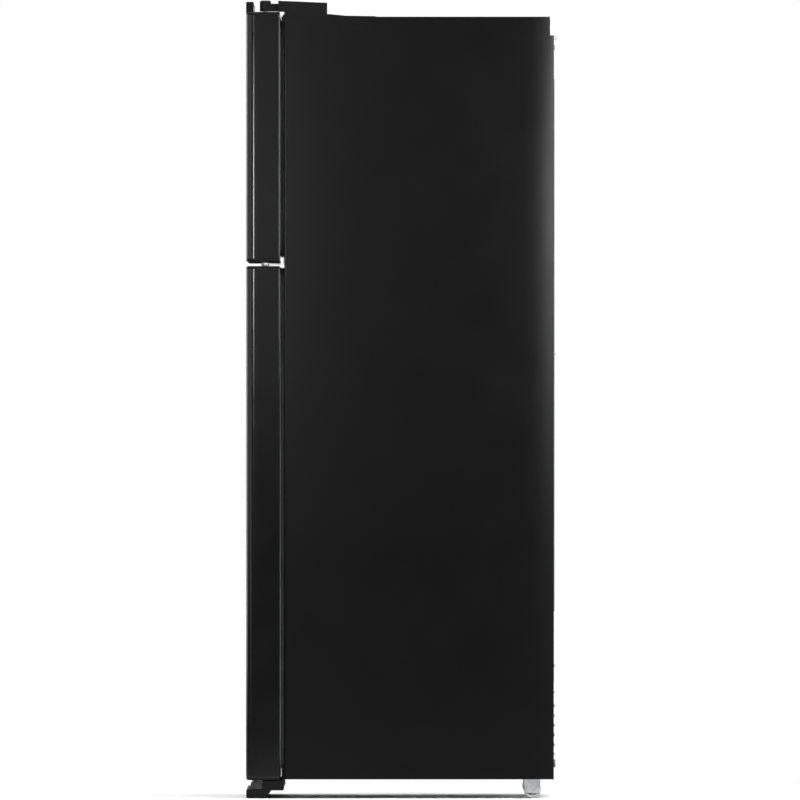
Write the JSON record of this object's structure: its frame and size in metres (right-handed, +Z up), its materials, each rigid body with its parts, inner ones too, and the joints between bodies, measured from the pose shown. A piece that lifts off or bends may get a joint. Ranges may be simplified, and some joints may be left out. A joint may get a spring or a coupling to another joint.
{
  "type": "top freezer refrigerator",
  "caption": "Free-standing black refrigerator with a freezer above a larger fresh food compartment, right-hinged doors, shelves, bins, sliding drawers and a compressor at the rear.",
  "frame": {"origin": "on the floor, below the centre of the overall box", "axes": "+Z up, -Y towards the doors' front, +X towards the hinge side"},
  "size_m": [0.7, 0.705, 1.796],
  "materials": {
    "textured_black": "satin, finely textured",
    "gloss_black_steel": "satin to gloss",
    "black_plastic": "satin",
    "back_sheet": "satin",
    "galvanised": "satin",
    "zinc": "satin",
    "dark_steel": "satin",
    "foam": "matte",
    "liner_white": "satin",
    "white_plastic": "satin",
    "pale_grey_plastic": "matte",
    "clear_plastic": "gloss",
    "glass": "gloss",
    "seal": "matte",
    "roller_plastic": "matte",
    "compressor_black": "gloss",
    "coil_aluminium": "satin",
    "coil_black": "satin",
    "fan_grey": "matte"
  },
  "bodies": {
    "cabinet": {"side_panel_right": "textured_black", "side_panel_left": "textured_black", "top_panel": "textured_black", "top_front_cover": "black_plastic", "back_panel": "back_sheet", "base_plate": "galvanised", "cabinet_foam": "foam", "freezer_liner": "liner_white", "fridge_liner": "liner_white", "mullion_rail": "textured_black", "rear_corner_caps": "pale_grey_plastic", "top_hinge": "zinc", "top_hinge_cover": "black_plastic", "centre_hinge": "zinc", "bottom_hinge": "dark_steel", "kick_plate": "black_plastic", "compressor": "compressor_black", "drain_pan": "pale_grey_plastic", "condenser": "coil_black", "machine_cover": "back_sheet", "evaporator": "coil_aluminium", "fan_motor": "galvanised", "freezer_duct_panel": "white_plastic", "fridge_duct": "white_plastic", "control_box": "white_plastic", "lamp_cover": "clear_plastic", "freezer_shelf": "white_plastic", "shelf_glass": "glass", "shelf_frames": "white_plastic", "ice_tray_frame": "white_plastic", "screws": "zinc"},
    "freezer_door": {"freezer_door_skin": "gloss_black_steel", "freezer_door_caps": "black_plastic", "freezer_door_liner": "liner_white", "freezer_door_foam": "foam", "freezer_door_gasket": "seal", "freezer_door_bins": "clear_plastic"},
    "fridge_door": {"fridge_door_skin": "gloss_black_steel", "fridge_door_caps": "black_plastic", "fridge_door_liner": "liner_white", "fridge_door_foam": "foam", "fridge_door_gasket": "seal", "fridge_door_bins": "clear_plastic"},
    "levelling_foot_right": {"levelling_foot_right": "roller_plastic"},
    "levelling_foot_left": {"levelling_foot_left": "roller_plastic"},
    "roller_right": {"roller_right": "pale_grey_plastic"},
    "roller_left": {"roller_left": "pale_grey_plastic"},
    "evaporator_fan": {"evaporator_fan": "fan_grey"},
    "temperature_dial": {"temperature_dial": "white_plastic"},
    "freezer_slider": {"freezer_slider": "white_plastic"},
    "humidity_slider_right": {"humidity_slider_right": "white_plastic"},
    "humidity_slider_left": {"humidity_slider_left": "white_plastic"},
    "light_switch_plunger": {"light_switch_plunger": "white_plastic"},
    "ice_tray_left": {"ice_tray_left": "pale_grey_plastic"},
    "ice_tray_right": {"ice_tray_right": "pale_grey_plastic"},
    "ice_bin": {"ice_bin": "clear_plastic"},
    "chiller_drawer": {"chiller_drawer": "clear_plastic"},
    "crisper_right": {"crisper_right": "clear_plastic"},
    "crisper_left": {"crisper_left": "clear_plastic"},
    "dairy_cover": {"dairy_cover": "clear_plastic"}
  },
  "joints": [
    {"name": "freezer_door_hinge", "type": "hinge", "parent": "cabinet", "child": "freezer_door", "pos_m": [0.325, -0.309, 1.488], "axis": [0, 0, 1], "range_deg": [0, 130]},
    {"name": "fridge_door_hinge", "type": "hinge", "parent": "cabinet", "child": "fridge_door", "pos_m": [0.325, -0.309, 0.62], "axis": [0, 0, 1], "range_deg": [0, 130]},
    {"name": "crisper_right_slide", "type": "slide", "parent": "cabinet", "child": "crisper_right", "axis": [0, -1, 0], "range_m": [0, 0.24]},
    {"name": "crisper_left_slide", "type": "slide", "parent": "cabinet", "child": "crisper_left", "axis": [0, -1, 0], "range_m": [0, 0.24]},
    {"name": "chiller_drawer_slide", "type": "slide", "parent": "cabinet", "child": "chiller_drawer", "axis": [0, -1, 0], "range_m": [0, 0.24]},
    {"name": "ice_bin_slide", "type": "slide", "parent": "cabinet", "child": "ice_bin", "axis": [0, -1, 0], "range_m": [0, 0.21]},
    {"name": "light_switch_press", "type": "slide", "parent": "cabinet", "child": "light_switch_plunger", "axis": [0, -1, 0], "range_m": [0, 0.008]},
    {"name": "dairy_cover_hinge", "type": "hinge", "parent": "fridge_door", "child": "dairy_cover", "pos_m": [0, -0.213, 1.096], "axis": [1, 0, 0], "range_deg": [0, 70]},
    {"name": "ice_tray_left_twist", "type": "hinge", "parent": "cabinet", "child": "ice_tray_left", "pos_m": [-0.22, 0, 1.382], "axis": [0, 1, 0], "range_deg": [0, 120], "stiffness_Nm_per_rad": 0.5},
    {"name": "ice_tray_right_twist", "type": "hinge", "parent": "cabinet", "child": "ice_tray_right", "pos_m": [-0.118, 0, 1.382], "axis": [0, 1, 0], "range_deg": [0, 120], "stiffness_Nm_per_rad": 0.5},
    {"name": "temperature_dial_turn", "type": "hinge", "parent": "cabinet", "child": "temperature_dial", "pos_m": [-0.05, -0.097, 1.144], "axis": [0, 1, 0], "range_deg": [-135, 135]},
    {"name": "freezer_slider_slide", "type": "slide", "parent": "cabinet", "child": "freezer_slider", "axis": [1, 0, 0], "range_m": [-0.03, 0.03]},
    {"name": "humidity_slider_right_slide", "type": "slide", "parent": "cabinet", "child": "humidity_slider_right", "axis": [1, 0, 0], "range_m": [-0.028, 0.028]},
    {"name": "humidity_slider_left_slide", "type": "slide", "parent": "cabinet", "child": "humidity_slider_left", "axis": [1, 0, 0], "range_m": [-0.028, 0.028]},
    {"name": "levelling_foot_right_turn", "type": "hinge", "parent": "cabinet", "child": "levelling_foot_right", "pos_m": [0.321, -0.33, 0.02], "axis": [0, 0, 1], "range_deg": [-360, 360]},
    {"name": "levelling_foot_left_turn", "type": "hinge", "parent": "cabinet", "child": "levelling_foot_left", "pos_m": [-0.321, -0.33, 0.02], "axis": [0, 0, 1], "range_deg": [-360, 360]},
    {"name": "roller_right_spin", "type": "hinge", "parent": "cabinet", "child": "roller_right", "pos_m": [0.3, 0.292, 0.02], "axis": [1, 0, 0], "continuous": true},
    {"name": "roller_left_spin", "type": "hinge", "parent": "cabinet", "child": "roller_left", "pos_m": [-0.3, 0.292, 0.02], "axis": [1, 0, 0], "continuous": true},
    {"name": "evaporator_fan_spin", "type": "hinge", "parent": "cabinet", "child": "evaporator_fan", "pos_m": [0, 0.223, 1.59], "axis": [0, 1, 0], "continuous": true}
  ],
  "couplings": [
    {"joint": "crisper_right_slide", "follows": "fridge_door_hinge", "m_per_rad": 0.105},
    {"joint": "crisper_left_slide", "follows": "fridge_door_hinge", "m_per_rad": 0.105},
    {"joint": "chiller_drawer_slide", "follows": "fridge_door_hinge", "m_per_rad": 0.105},
    {"joint": "light_switch_press", "follows": "fridge_door_hinge", "m_per_rad": 0.0035},
    {"joint": "ice_bin_slide", "follows": "freezer_door_hinge", "m_per_rad": 0.09}
  ]
}
